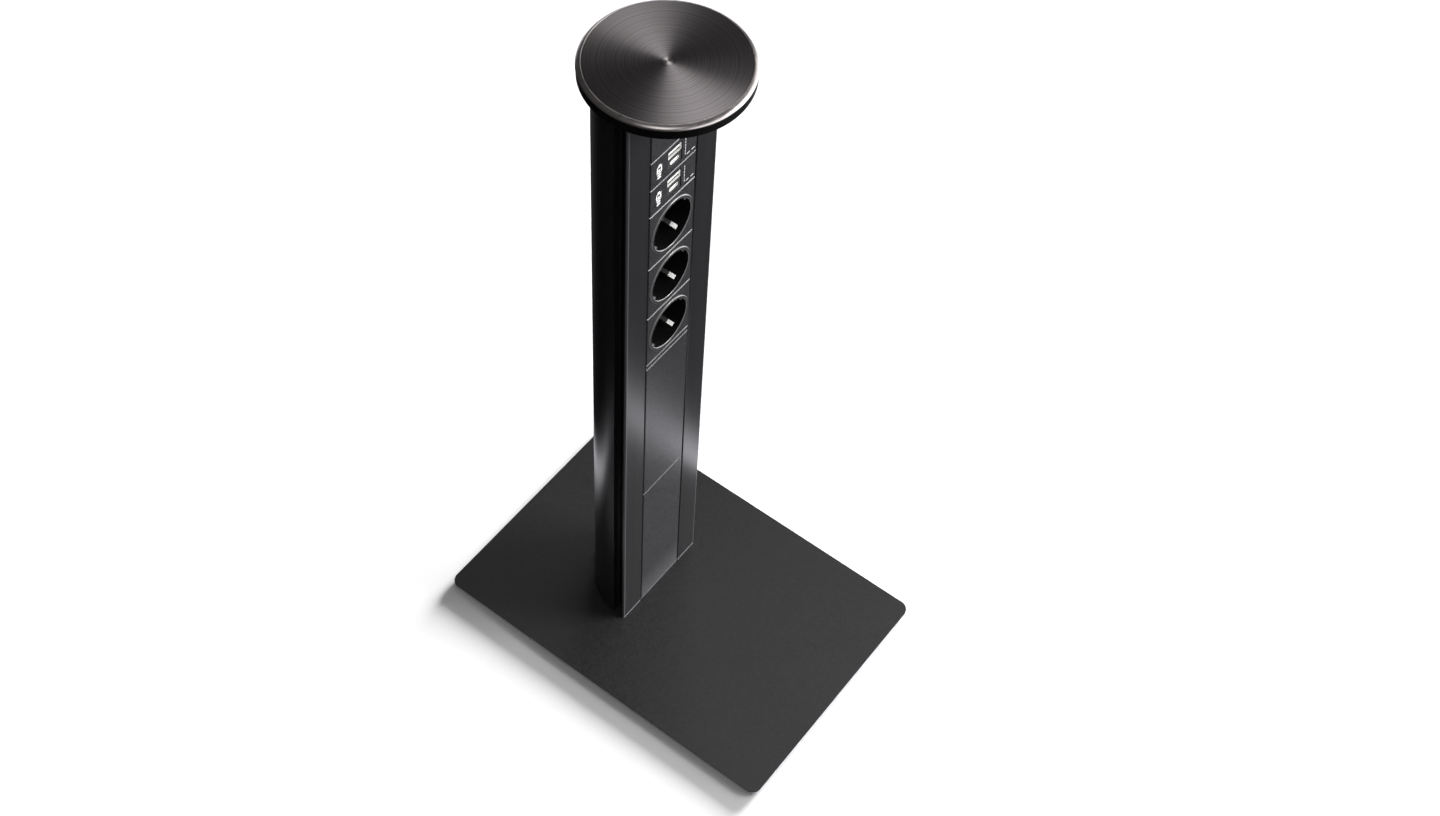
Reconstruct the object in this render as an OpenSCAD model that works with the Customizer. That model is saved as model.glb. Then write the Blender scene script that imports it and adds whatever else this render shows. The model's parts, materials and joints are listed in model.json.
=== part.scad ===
// Desk power tower: three earthed sockets and two USB chargers in an aluminium column on a steel base
// Z is up, the sockets face -Y, and Z = 0 is the table top under the middle of the base

/* [Base] */
// Width of the base plate
base_w = 214; // [180:1:260]
// Depth of the base plate, front to back
base_d = 309; // [260:1:360]
// Thickness of the steel base plate
base_t = 4; // [3.5:0.5:8]
// Radius of the base plate's corners
base_corner_r = 8; // [6:0.5:20]
// Thickness of the anti-slip mat
mat_t = 2; // [1:0.5:4]
// Distance from the plate's edge to the mat's edge
mat_inset = 1; // [0.5:0.5:5]
// Distance of the tower's axis behind the middle of the base
tower_back = 28.9; // [0:0.1:60]

/* [Tower profile] */
// Height of the aluminium profile
tower_h = 573.5; // [550:0.5:640]
// Radius of the round back
tower_r = 46.65; // [45.5:0.05:52]
// Distance from the tower's axis to its flat front
face_offset = 7.3; // [6:0.1:10]
// Thickness of the round wall
wall_t = 2.2; // [1.6:0.1:3]
// Thickness of the front flanges
flange_t = 2.3; // [1.8:0.1:3]
// Chamfer along the front flanges' outer edges
flange_chamfer = 0.5; // [0.2:0.1:1]
// Chamfer along the front flanges' inner edges, beside the inlays
channel_chamfer = 1; // [0.4:0.1:1.4]
// Width of the side grooves
groove_w = 8.2; // [6:0.1:10]
// Depth of the side grooves, from the flange's edge inwards
groove_depth = 9.5; // [6:0.1:11]
// Thickness of the walls round the side grooves
groove_wall = 2; // [1.4:0.1:3]
// Height of the small fin in each side groove
fin_h = 1.2; // [0.6:0.1:2]
// Thickness of the small fin
fin_t = 1; // [0.6:0.1:1.6]
// Distance of the fin from the round back's widest point
fin_in = 5.5; // [4:0.1:7]
// Depth of the lips that the inlays snap behind, from the flat front
lip_depth = 6; // [5:0.1:7]
// Thickness of the lips
lip_t = 1.6; // [1.2:0.1:2.2]
// Bore of the four screw channels
channel_bore = 4.9; // [4.2:0.1:5.4]
// Wall of the four screw channels
channel_wall = 1.7; // [1.2:0.1:2.2]
// Slit that opens each screw channel to the inside
channel_slit = 1.6; // [1:0.1:2.4]
// Angle of the rear screw channels from the middle of the back
rear_channel_angle = 40; // [34:1:52]

/* [Inlays] */
// Width of the inlays
inlay_w = 47.5; // [46.5:0.1:49]
// Gap between an inlay and the channel, on each side
inlay_gap = 0.25; // [0.15:0.05:0.4]
// Thickness of an inlay's front
inlay_t = 2.5; // [2:0.1:3.5]
// Gap between one inlay and the next
joint_gap = 0.3; // [0.1:0.05:0.6]
// Chamfer along an inlay's front edges
inlay_chamfer = 0.6; // [0.3:0.05:1]
// Thickness of the snap legs
leg_t = 1.4; // [1:0.1:1.8]
// Reach of a snap leg's hook behind the lip
hook_reach = 1; // [0.5:0.1:1.4]
// Length of the hook
hook_t = 1.5; // [1:0.1:2.5]
// Gap between the hook and the lip
hook_gap = 0.1; // [0.05:0.05:0.3]
// Height of the top blank cover
top_cover_h = 56.3; // [30:0.1:80]
// Height of the upper blank cover, above the lower one that takes what is left
upper_cover_h = 154.8; // [120:0.1:170]
// Height of the spacer strip under the sockets
spacer_h = 5.4; // [4:0.1:10]
// Width of the groove along the spacer strip
spacer_groove = 1.2; // [0.6:0.1:2]
// Height of one socket
socket_h = 51.4; // [50.5:0.1:55]
// Height of one USB charger
usb_h = 25; // [24:0.1:32]

/* [Socket] */
// Diameter of the well that the plug goes into
well_d = 39; // [38.5:0.1:39.6]
// Depth of the well, from the flat front
well_depth = 17.5; // [16:0.1:18.5]
// Wall of the well
well_wall = 2.2; // [1.6:0.1:2.3]
// Turn of the pins' line from level, seen from the front
pin_turn = 35; // [25:1:45]
// Height of the raised rim round the well
rim_h = 0.8; // [0.4:0.1:1.2]
// Width of the raised rim
rim_w = 2.4; // [1.6:0.1:2.8]
// Chamfer along the rim's edges
rim_chamfer = 0.4; // [0.1:0.05:0.5]
// Thickness of the well's floor
floor_t = 2; // [1.6:0.1:2.4]
// Distance between the two pins
pin_pitch = 19; // [18.5:0.1:19.5]
// Diameter of a pin hole
pin_hole_d = 5.6; // [5.2:0.1:5.8]
// Width of the two guide ribs
rib_w = 4.6; // [3.5:0.1:5]
// Reach of the guide ribs into the well
rib_h = 1.7; // [1:0.1:2]
// Distance of the guide ribs below the flat front
rib_start = 1.2; // [0.5:0.1:4]

/* [Earth clip] */
// Width of the earth clip
clip_w = 3; // [2.4:0.1:4]
// Thickness of the earth clip
clip_t = 0.8; // [0.5:0.1:1]
// Distance of the clip's arms from the well's axis, behind the well
clip_arm_r = 20.6; // [20.3:0.05:20.8]
// Reach of the clip's contact hump into the well
clip_hump = 1.9; // [1.2:0.1:2.4]
// Depth of the contact hump
clip_hump_depth = 8.5; // [7.5:0.1:10]
// Depth of the clip's front ends
clip_nose_depth = 3.8; // [3:0.1:5]
// Gap round the clip in its slots
clip_gap = 0.4; // [0.2:0.05:0.6]

/* [Shutter] */
// Travel of the shutter, in degrees
shutter_travel = 38; // [36:1:42]
// Half of the angle that a wing covers
wing_half_angle = 19.5; // [18.5:0.1:20]
// Radius of the wings
wing_r = 14.5; // [13:0.1:15]
// Thickness of the wings
wing_t = 1.8; // [1.4:0.1:2]
// Slope on the wings that a pin pushes against, in degrees
wing_slope = 12; // [6:1:16]
// Radius of the shutter's hub
hub_r = 4.6; // [3.6:0.1:4.8]
// Diameter of the pivot post
post_d = 3; // [2.4:0.1:3.4]
// Running clearance round the pivot post
post_gap = 0.05; // [0.03:0.01:0.09]
// Running gap at the shutter's faces
shutter_gap = 0.25; // [0.15:0.05:0.3]
// Depth of the chamber that the shutter turns in
chamber_depth = 5; // [4.9:0.1:6]
// Gap between a wing and its stop, in degrees
stop_gap = 0.4; // [0.2:0.1:0.8]
// Diameter of the spring wire
wire_d = 0.4; // [0.3:0.05:0.45]
// Radius of the spring's coil
coil_r = 5.4; // [5.2:0.05:5.8]
// Rise of the spring's coil per turn
coil_pitch = 0.95; // [0.9:0.01:1]
// Distance of the spring's ends from the pivot
leg_end_r = 11; // [10:0.1:12]
// Radius of the peg that the spring pushes on
peg_r = 0.8; // [0.5:0.1:1]

/* [Contacts and wiring] */
// Outer diameter of a pin contact
contact_d = 7; // [6.6:0.1:7.6]
// Bore of a pin contact, for a 4.8 mm pin
contact_bore = 4.9; // [4.8:0.05:5.2]
// Room for the pin contacts behind the shutter's chamber
contact_room = 12.5; // [11:0.1:13]
// Gap round a pin contact
contact_gap = 0.1; // [0.05:0.05:0.2]
// Width of the bus bars
bar_w = 5; // [4.4:0.1:5.4]
// Thickness of the bus bars
bar_t = 1; // [0.8:0.1:1.5]
// Distance of the live and neutral bars behind the sockets
bar_gap = 4; // [3:0.1:4.5]
// Thickness of the rail behind the bus bars
rail_t = 3; // [2:0.1:3.4]
// Diameter of the insulated wires
wire_insulation_d = 3; // [2.4:0.1:3.6]
// Height of the terminal block
terminal_h = 18; // [14:0.5:26]
// Height of the terminal block's underside above the base plate
terminal_z = 50; // [40:1:80]
// Height of the cable gland's axis above the base plate
gland_z = 24; // [16:0.5:28]
// Bore of the cable gland
gland_bore = 8.8; // [7:0.1:9.6]
// Diameter of the gland's shank
gland_shank_d = 15; // [13:0.1:16]
// Diameter of the gland's flange
gland_flange_d = 20; // [18:0.1:22]

/* [USB charger] */
// Width of the window in the charger's front
usb_window_w = 14.4; // [14:0.1:16]
// Height of the window
usb_window_h = 17.4; // [17:0.1:19]
// Shift of the window to the right of the middle
usb_window_x = 1.2; // [-2:0.1:2]
// Distance of the ports behind the flat front
usb_recess = 0.6; // [0.3:0.1:1.2]
// Height of the larger port above the middle
usb_a_y = 3.8; // [3.2:0.1:4.2]
// Height of the smaller port below the middle
usb_c_y = -4; // [-4.4:0.1:-3.6]
// Thickness of the ports' steel shells
usb_shell_t = 0.35; // [0.25:0.05:0.4]
// Width of the charger's body
usb_body_w = 38; // [32:0.5:40]
// Depth of the charger's body behind the flat front
usb_body_depth = 30; // [24:0.5:34]

/* [Cap] */
// Radius of the metal cap
cap_r = 55.3; // [50:0.1:60]
// Thickness of the metal cap
cap_t = 3.2; // [2.5:0.1:5]
// Thickness of the black ring under the cap
ring_h = 6.5; // [5:0.1:9]
// Distance from the cap's edge to the ring's edge
ring_inset = 0.3; // [0.1:0.1:2]
// Depth of the ring's locating lug inside the profile
lug_depth = 4; // [2:0.5:8]
// Width of the locating lug's wall
lug_wall = 4; // [2:0.5:6]

/* [Hidden] */
$fn = 96;

socket_count = 3;
usb_count = 2;
powder_black = "#2b2b2c";
anodised_black = "#3a3a3d";
plastic_black = "#323234";
lathe_grey = "#6a6461";
steel = "#c9ccd0";
brass = "#c9a54f";

// A cut goes this far past a face
past = 1;

// Gaps: round a thread in its bore, beside a piece that seats on the round wall
thread_gap = 0.05;
seat_gap = 0.2;

// Levels and places of the whole
deck_z = mat_t + base_t;
tower_top = deck_z + tower_h;
face_y = tower_back - face_offset;
inner_r = tower_r - wall_t;
channel_w = inlay_w + 2 * inlay_gap;
half_front = sqrt(tower_r * tower_r - face_offset * face_offset);
groove_floor_x = half_front - groove_depth;
channel_r = channel_bore / 2 + channel_wall;

// The inlays fill the profile from the top down
top_cover_z = tower_top - top_cover_h;
usb_z0 = top_cover_z - usb_count * usb_h;
sockets_z = usb_z0 - socket_count * socket_h;
spacer_z = sockets_z - spacer_h;
upper_cover_z = spacer_z - upper_cover_h;

// Screw channels, from the tower's axis: two at the side grooves and two at the back
front_channel_back = 1.5;
front_channel_x = groove_floor_x - groove_wall - channel_bore / 2 - channel_wall / 2;
front_channel_y = -face_offset + flange_t + groove_w / 2 + front_channel_back;
rear_channel_ring = inner_r - channel_bore / 2 - channel_wall / 2;
rear_channel_x = rear_channel_ring * sin(rear_channel_angle);
rear_channel_y = rear_channel_ring * cos(rear_channel_angle);
screw_places = [
  [front_channel_x, front_channel_y], [-front_channel_x, front_channel_y],
  [rear_channel_x, rear_channel_y], [-rear_channel_x, rear_channel_y]
];

// Depths in a socket, counted from the flat front
well_r = well_d / 2;
floor_back = well_depth + floor_t;
chamber_back = floor_back + chamber_depth;
base_back = chamber_back + contact_room;
wing_front = floor_back + shutter_gap;
wing_back = wing_front + wing_t;
earth_bar_front = base_back + clip_t;
bar_front = base_back + bar_gap;
bar_x = pin_pitch / 2 * cos(pin_turn);
socket_base_r = clip_arm_r - clip_t / 2 - clip_gap;
chamber_r = wing_r + 1;
contact_lip = 1.2;
pin_hole_r = pin_hole_d / 2;

// Screws of the sockets
boss_r = 2.8;
boss_leg_gap = 0.7;
boss_edge_gap = 0.9;
boss_x = inlay_w / 2 - inlay_gap - leg_t - boss_r - boss_leg_gap;
boss_y = socket_h / 2 - joint_gap - boss_r - boss_edge_gap;
pilot_r = 1.25;
pilot_depth = 8;

// Ends of the bus bars
bar_inset = 4;
bars_bottom = sockets_z + bar_inset;
bars_top = usb_z(1) + bar_inset;

function socket_z(k) = sockets_z + (socket_count - k + 0.5) * socket_h;
function usb_z(k) = usb_z0 + (usb_count - k + 0.5) * usb_h;
function unit(v) = v / norm(v);
function left_of(v) = [-v[1], v[0]];
function polar(r, a) = [r * cos(a), r * sin(a)];

// Outline of a bent strip: the path moved to both sides, with mitred corners
function mitre(path, i, side) =
  let (
    last = len(path) - 1,
    a = i > 0 ? unit(path[i] - path[i - 1]) : unit(path[1] - path[0]),
    b = i < last ? unit(path[i + 1] - path[i]) : a,
    n = unit(left_of(a) + left_of(b))
  )
  path[i] + n * side / (n * left_of(a));
function strip_outline(path, t) = concat(
  [for (i = [0:len(path) - 1]) mitre(path, i, t / 2)],
  [for (i = [len(path) - 1:-1:0]) mitre(path, i, -t / 2)]
);

// Children drawn on the flat front: X to the right, Y up and Z out towards the user
module on_face(z) {
  translate([0, face_y, z]) rotate([90, 0, 0]) children();
}

// Children drawn in plan about the tower's axis
module on_axis(z) {
  translate([0, tower_back, z]) children();
}

// Round solid on the well's axis, between two depths
module disc(r, front, back) {
  translate([0, 0, -back]) cylinder(r = r, h = back - front);
}

// Flat sector between two angles, wider than any round piece here
module wedge(from, to) {
  reach = 3 * wing_r;
  polygon([[0, 0], polar(reach, from), polar(reach, (from + to) / 2), polar(reach, to)]);
}

module rounded_sheet(w, d, r, t) {
  linear_extrude(t) union() {
    square([w - 2 * r, d], center = true);
    square([w, d - 2 * r], center = true);
    for (x = [-1, 1], y = [-1, 1]) translate([x * (w / 2 - r), y * (d / 2 - r)]) circle(r);
  }
}

// Base

csk_r = 5;
csk_h = 2.6;
base_screw_r = channel_bore / 2 - thread_gap;
base_screw_reach = 14;
csk_gap = 0.1;

module base_plate() {
  color(powder_black)
  difference() {
    translate([0, 0, mat_t]) rounded_sheet(base_w, base_d, base_corner_r, base_t);
    for (p = screw_places) {
      on_axis(mat_t - past) translate(p) cylinder(r = base_screw_r + csk_gap, h = base_t + 2 * past);
      on_axis(mat_t) translate(p)
        cylinder(r1 = csk_r + csk_gap, r2 = base_screw_r + csk_gap, h = csk_h + csk_gap);
    }
  }
}

module base_mat() {
  color("#1d1d1d")
  rounded_sheet(base_w - 2 * mat_inset, base_d - 2 * mat_inset, base_corner_r - mat_inset, mat_t);
}

module base_screws() {
  color(steel)
  for (p = screw_places) on_axis(mat_t) translate(p) union() {
    cylinder(r1 = csk_r, r2 = base_screw_r, h = csk_h);
    cylinder(r = base_screw_r, h = base_t + base_screw_reach);
  }
}

// Tower profile, drawn in plan about its axis

module screw_channel_walls() {
  for (p = screw_places) translate(p) circle(channel_r);
}

module screw_channel_bores() {
  for (p = screw_places) translate(p) {
    circle(channel_bore / 2);
    rotate(atan2(-p[1], -p[0])) translate([0, -channel_slit / 2]) square([channel_r + past, channel_slit]);
  }
}

module groove_box(wall) {
  for (s = [0, 1]) mirror([s, 0])
    translate([groove_floor_x - wall, flange_t - face_offset - wall])
      square([groove_depth + wall + tower_r / 2, groove_w + 2 * wall]);
}

module channel_lips() {
  for (s = [0, 1]) mirror([s, 0])
    translate([channel_w / 2, -face_offset]) square([lip_t, lip_depth]);
}

module tower_room() {
  difference() {
    intersection() {
      circle(inner_r);
      translate([-tower_r, flange_t - face_offset]) square([2 * tower_r, 2 * tower_r]);
    }
    groove_box(groove_wall);
    channel_lips();
    screw_channel_walls();
  }
}

module front_opening() {
  half = channel_w / 2;
  c = channel_chamfer;
  polygon([
    [-half - c - past, -face_offset - past], [half + c + past, -face_offset - past],
    [half, -face_offset + c], [half, flange_t - face_offset + past],
    [-half, flange_t - face_offset + past], [-half, -face_offset + c]
  ]);
}

module flange_corners() {
  for (s = [0, 1]) mirror([s, 0])
    translate([half_front, -face_offset]) rotate(45)
      square([3 * flange_chamfer, sqrt(2) * flange_chamfer], center = true);
}

module groove_fins() {
  for (s = [0, 1]) mirror([s, 0])
    translate([tower_r - fin_in - fin_t, flange_t - face_offset + groove_w - fin_h])
      square([fin_t, fin_h + past]);
}

module tower_section() {
  difference() {
    intersection() {
      circle(tower_r);
      translate([-tower_r, -face_offset]) square([2 * tower_r, 2 * tower_r]);
    }
    tower_room();
    difference() {
      groove_box(0);
      groove_fins();
    }
    front_opening();
    screw_channel_bores();
    flange_corners();
  }
}

module tower_profile() {
  color(anodised_black)
  difference() {
    on_axis(deck_z) linear_extrude(tower_h) tower_section();
    on_axis(deck_z + gland_z) translate([0, inner_r - past, 0]) rotate([-90, 0, 0])
      cylinder(r = gland_shank_d / 2 + thread_gap, h = wall_t + 2 * past);
  }
}

// Cap

cap_screw_r = channel_bore / 2 - thread_gap;
cap_head_r = 4.2;
cap_head_h = 2.6;
cap_head_gap = 0.4;
cap_screw_reach = 14;
lug_channel_angle = 12;
lug_angle = 2 * (rear_channel_angle - lug_channel_angle);

module cap_ring() {
  seat = tower_top + ring_h - cap_head_h - cap_head_gap;
  color("#141414")
  difference() {
    union() {
      on_axis(tower_top) cylinder(r = cap_r - ring_inset, h = ring_h);
      on_axis(tower_top - lug_depth) rotate(90 - lug_angle / 2) rotate_extrude(angle = lug_angle)
        translate([inner_r - seat_gap - lug_wall, 0]) square([lug_wall, lug_depth + past]);
    }
    for (p = screw_places) {
      on_axis(tower_top - past) translate(p) cylinder(r = cap_screw_r + csk_gap, h = ring_h + 2 * past);
      on_axis(seat) translate(p) cylinder(r = cap_head_r + cap_head_gap, h = ring_h);
    }
  }
}

module cap_screws() {
  seat = tower_top + ring_h - cap_head_h - cap_head_gap;
  color(steel)
  for (p = screw_places) on_axis(seat) translate(p) union() {
    cylinder(r = cap_head_r, h = cap_head_h);
    translate([0, 0, -cap_screw_reach]) cylinder(r = cap_screw_r, h = cap_screw_reach + past);
  }
}

// Metal cap: a turned disc with a quarter-round edge
module cap_disc() {
  color(lathe_grey)
  on_axis(tower_top + ring_h) rotate_extrude() union() {
    square([cap_r - cap_t, cap_t]);
    translate([cap_r - cap_t, 0]) intersection() {
      circle(cap_t);
      square([cap_t, cap_t]);
    }
  }
}

// Inlays, drawn in plan with Y counted back from the flat front

module inlay_section() {
  outer = inlay_w / 2 - inlay_gap;
  inner = outer - leg_t;
  hook_x = channel_w / 2 + hook_reach;
  hook_y = lip_depth + hook_gap;
  c = inlay_chamfer;
  right = [
    [inlay_w / 2 - c, 0], [inlay_w / 2, c], [inlay_w / 2, inlay_t], [outer, inlay_t],
    [outer, hook_y], [hook_x, hook_y], [hook_x - hook_reach, hook_y + hook_t],
    [inner, hook_y + hook_t], [inner, inlay_t]
  ];
  left = [for (i = [len(right) - 1:-1:0]) [-right[i][0], right[i][1]]];
  polygon(concat(right, left));
}

// Chamfer along an inlay's upper and lower front edges
module inlay_edges(h) {
  side = sqrt(2) * inlay_chamfer;
  for (z = [0, h]) translate([0, 0, z]) rotate([45, 0, 0])
    cube([inlay_w + 2 * past, side, side], center = true);
}

module inlay(z, h) {
  translate([0, face_y, z + joint_gap / 2]) difference() {
    linear_extrude(h - joint_gap) inlay_section();
    inlay_edges(h - joint_gap);
  }
}

module lower_cover() {
  color(plastic_black) inlay(deck_z, upper_cover_z - deck_z);
}

module upper_cover() {
  color(plastic_black) inlay(upper_cover_z, upper_cover_h);
}

module top_cover() {
  color(plastic_black) inlay(top_cover_z, top_cover_h);
}

module spacer_strip() {
  color(plastic_black)
  difference() {
    inlay(spacer_z, spacer_h);
    translate([-inlay_w / 2 - past, face_y - past, spacer_z + spacer_h / 2 - spacer_groove / 2])
      cube([inlay_w + 2 * past, inlay_chamfer + past, spacer_groove]);
  }
}

// Socket

module rim_ring() {
  rim_r = well_r + rim_w;
  rotate_extrude() polygon([
    [well_r, -inlay_t / 2], [well_r, rim_h - rim_chamfer], [well_r + rim_chamfer, rim_h],
    [rim_r - rim_chamfer, rim_h], [rim_r, rim_h - rim_chamfer], [rim_r, -inlay_t / 2]
  ]);
}

module socket_bosses(r, front, back) {
  for (s = [-1, 1]) translate([s * boss_x, s * boss_y, 0]) disc(r, front, back);
}

module pin_places() {
  for (s = [-1, 1]) rotate(pin_turn) translate([s * pin_pitch / 2, 0, 0]) children();
}

module guide_ribs() {
  rib_foot = well_wall / 2;
  for (s = [0, 180]) rotate(pin_turn + s)
    translate([well_r - rib_h, -rib_w / 2, -well_depth - floor_t / 2])
      cube([rib_h + rib_foot, rib_w, well_depth + floor_t / 2 - rib_start]);
}

module clip_slots() {
  slot_w = clip_w + 2 * clip_gap;
  slot_start = clip_nose_depth - clip_gap - clip_t;
  for (s = [0, 180]) rotate(pin_turn + 90 + s)
    translate([well_r - past, -slot_w / 2, -floor_back - past])
      cube([well_wall + 2 * past, slot_w, floor_back + past - slot_start]);
}

module socket_insert(k) {
  color(plastic_black)
  union() {
    difference() {
      union() {
        inlay(socket_z(k) - socket_h / 2, socket_h);
        on_face(socket_z(k)) {
          rim_ring();
          disc(well_r + well_wall, inlay_t / 2, floor_back);
          socket_bosses(boss_r, inlay_t / 2, floor_back);
        }
      }
      on_face(socket_z(k)) {
        disc(well_r, -rim_h - past, well_depth);
        pin_places() disc(pin_hole_r, 0, floor_back + past);
        clip_slots();
        socket_bosses(pilot_r, floor_back - pilot_depth, floor_back + past);
      }
    }
    on_face(socket_z(k)) guide_ribs();
  }
}

stop_coil_gap = 1.4;

// Chamber for the shutter: round, less the two blocks that stop its wings
module shutter_chamber() {
  first = wing_half_angle + shutter_travel + stop_gap;
  second = 180 - wing_half_angle - stop_gap;
  stop_inner_r = coil_r + wire_d + stop_coil_gap;
  difference() {
    disc(chamber_r, floor_back - past, chamber_back);
    for (s = [0, 180]) rotate(s) difference() {
      translate([0, 0, -chamber_back - past]) linear_extrude(chamber_depth + 3 * past) wedge(first, second);
      disc(stop_inner_r, floor_back - 3 * past, chamber_back + 2 * past);
    }
  }
}

rivet_r = 1.5;
rivet_depth = 5;
rivet_head_r = 2.2;
rivet_head_h = 0.8;
rivet_end_gap = 0.5;
clip_eye = 1.8;
clip_end_reach = 0.3;
clip_bend_in = 2;
ear_t = 2.5;
ear_hole_r = 1.6;
base_step = 0.4;

module base_flange() {
  ear_reach = norm([boss_x, boss_y]) + boss_r;
  translate([0, 0, -floor_back - ear_t]) linear_extrude(ear_t) union() {
    circle(socket_base_r);
    rotate(atan2(boss_y, boss_x)) square([2 * ear_reach, 2 * boss_r], center = true);
  }
}

module socket_base(k) {
  color("#4a4a4e")
  on_face(socket_z(k)) union() {
    difference() {
      union() {
        base_flange();
        disc(socket_base_r - base_step, floor_back, base_back);
      }
      rotate(pin_turn) shutter_chamber();
      pin_places() {
        disc(pin_hole_r, floor_back, base_back + past);
        disc(contact_d / 2 + contact_gap, chamber_back + contact_lip, base_back + past);
      }
      socket_bosses(ear_hole_r, floor_back - past, floor_back + ear_t + past);
      disc(rivet_r + thread_gap, base_back - rivet_depth - rivet_end_gap, base_back + past);
    }
    disc(post_d / 2, floor_back + shutter_gap / 2, chamber_back + past);
  }
}

module earth_clip(k) {
  strap = -base_back - clip_t / 2;
  ends_r = well_r - clip_end_reach;
  hump_r = well_r - clip_hump + clip_t / 2;
  arm = [
    [clip_arm_r, strap], [clip_arm_r, clip_bend_in - well_depth],
    [hump_r, -clip_hump_depth], [ends_r, -clip_nose_depth]
  ];
  path = concat([for (i = [len(arm) - 1:-1:0]) [-arm[i][0], arm[i][1]]], arm);
  color(steel)
  on_face(socket_z(k)) difference() {
    union() {
      rotate(pin_turn + 90) rotate([90, 0, 0]) translate([0, 0, -clip_w / 2])
        linear_extrude(clip_w) polygon(strip_outline(path, clip_t));
      disc(rivet_r + clip_eye, base_back, base_back + clip_t);
    }
    disc(rivet_r + thread_gap, base_back - past, base_back + clip_t + past);
  }
}

contact_slit = 1.2;
contact_end_t = 1.2;
contact_end_gap = 1;
contact_tail_w = 3.6;
contact_tail_t = 1;

module pin_contacts(k) {
  front = chamber_back + contact_lip + contact_gap;
  back = base_back - contact_end_gap;
  bore_back = back - contact_end_t;
  tail_front = back - contact_end_t / 2;
  color(brass)
  on_face(socket_z(k)) pin_places() union() {
    difference() {
      disc(contact_d / 2, front, back);
      disc(contact_bore / 2, front - past, bore_back);
      translate([-contact_slit / 2, 0, -bore_back]) cube([contact_slit, contact_d, bore_back - front + past]);
    }
    translate([-contact_tail_w / 2, -contact_tail_t / 2, -bar_front])
      cube([contact_tail_w, contact_tail_t, bar_front - tail_front]);
  }
}

// Shutter: a hub with two wings, turned about the pivot post by the pins

leg_angle = acos(coil_r / leg_end_r);
peg_leg_angle = 2;
stop_leg_angle = wing_half_angle + shutter_travel + stop_gap - asin((wire_d / 2 + thread_gap) / leg_end_r);
coil_turn = 720 + stop_leg_angle - peg_leg_angle - 2 * leg_angle;
coil_start = stop_leg_angle - leg_angle;
spring_front = -(wing_back + shutter_gap + wire_d / 2);
spring_back = spring_front - coil_pitch * coil_turn / 360;
peg_leg_end = polar(leg_end_r, peg_leg_angle);
peg_leg_way = unit(polar(coil_r, peg_leg_angle + leg_angle) - peg_leg_end);
peg_place = peg_leg_end + peg_leg_way + (wire_d / 2 + peg_r + thread_gap) * left_of(peg_leg_way);

module shutter(k) {
  color("#d8d8d4")
  on_face(socket_z(k)) rotate(pin_turn) difference() {
    union() {
      disc(hub_r, wing_front, chamber_back - shutter_gap);
      translate([0, 0, -wing_back]) linear_extrude(wing_t) intersection() {
        circle(wing_r);
        union() {
          wedge(-wing_half_angle, wing_half_angle);
          wedge(180 - wing_half_angle, 180 + wing_half_angle);
        }
      }
      translate(peg_place) disc(peg_r, wing_back - wing_t / 2, -spring_front + wire_d);
    }
    disc(post_d / 2 + post_gap, floor_back - past, chamber_back + past);
    for (s = [0, 180]) rotate(s) translate([hub_r, 0, -wing_front]) rotate([wing_slope, 0, 0])
      translate([0, -wing_r, 0]) cube([wing_r, wing_r, wing_t]);
  }
}

// Torsion spring of the shutter: a short coil round the hub with two straight legs

spring_sides = 6;
spring_steps = round(8 * coil_turn / 360);
spring_path = concat(
  [concat(polar(leg_end_r, stop_leg_angle), spring_back)],
  [for (i = [0:spring_steps]) concat(
    polar(coil_r, coil_start - coil_turn * i / spring_steps),
    spring_back + (spring_front - spring_back) * i / spring_steps
  )],
  [concat(peg_leg_end, spring_front)]
);

function spring_ring(path, i) =
  let (
    last = len(path) - 1,
    a = i > 0 ? unit(path[i] - path[i - 1]) : unit(path[1] - path[0]),
    b = i < last ? unit(path[i + 1] - path[i]) : a,
    along = unit(a + b),
    side = unit(cross(along, [0, 0, 1])),
    up = cross(side, along)
  )
  [for (j = [0:spring_sides - 1])
    path[i] + wire_d / 2 * (cos(360 * j / spring_sides) * side + sin(360 * j / spring_sides) * up)];

module wire_tube(path) {
  n = spring_sides;
  last = len(path) - 1;
  points = [for (i = [0:last], p = spring_ring(path, i)) p];
  faces = concat(
    [[for (j = [n - 1:-1:0]) j]],
    [for (i = [0:last - 1], j = [0:n - 1]) [i * n + j, i * n + (j + 1) % n, (i + 1) * n + (j + 1) % n]],
    [for (i = [0:last - 1], j = [0:n - 1]) [i * n + j, (i + 1) * n + (j + 1) % n, (i + 1) * n + j]],
    [[for (j = [0:n - 1]) last * n + j]]
  );
  polyhedron(points, faces);
}

spring_gap = min([for (i = [0:len(spring_path) - 1], j = [i + 5:1:len(spring_path) - 1])
  norm(spring_path[i] - spring_path[j])]) - wire_d;

module shutter_spring(k) {
  color(steel)
  on_face(socket_z(k)) rotate(pin_turn) wire_tube(spring_path);
}

screw_head_r = 2.7;
screw_head_h = 2;
screw_reach = 7;

module socket_screws() {
  color(steel)
  for (k = [1:socket_count]) on_face(socket_z(k)) {
    socket_bosses(pilot_r - thread_gap, floor_back - screw_reach, floor_back + ear_t);
    socket_bosses(screw_head_r, floor_back + ear_t, floor_back + ear_t + screw_head_h);
  }
}

module earth_rivets() {
  color(brass)
  for (k = [1:socket_count]) on_face(socket_z(k)) union() {
    disc(rivet_r, base_back - rivet_depth, earth_bar_front + bar_t);
    disc(rivet_head_r, earth_bar_front + bar_t, earth_bar_front + bar_t + rivet_head_h);
  }
}

// Bus bars, wires and inlet

module upright_bar(x, front, bottom, top) {
  translate([x - bar_w / 2, face_y + front, bottom]) cube([bar_w, bar_t, top - bottom]);
}

module live_bar() {
  color(brass) upright_bar(bar_x, bar_front, bars_bottom, bars_top);
}

module neutral_bar() {
  color(brass) upright_bar(-bar_x, bar_front, bars_bottom, bars_top);
}

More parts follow.
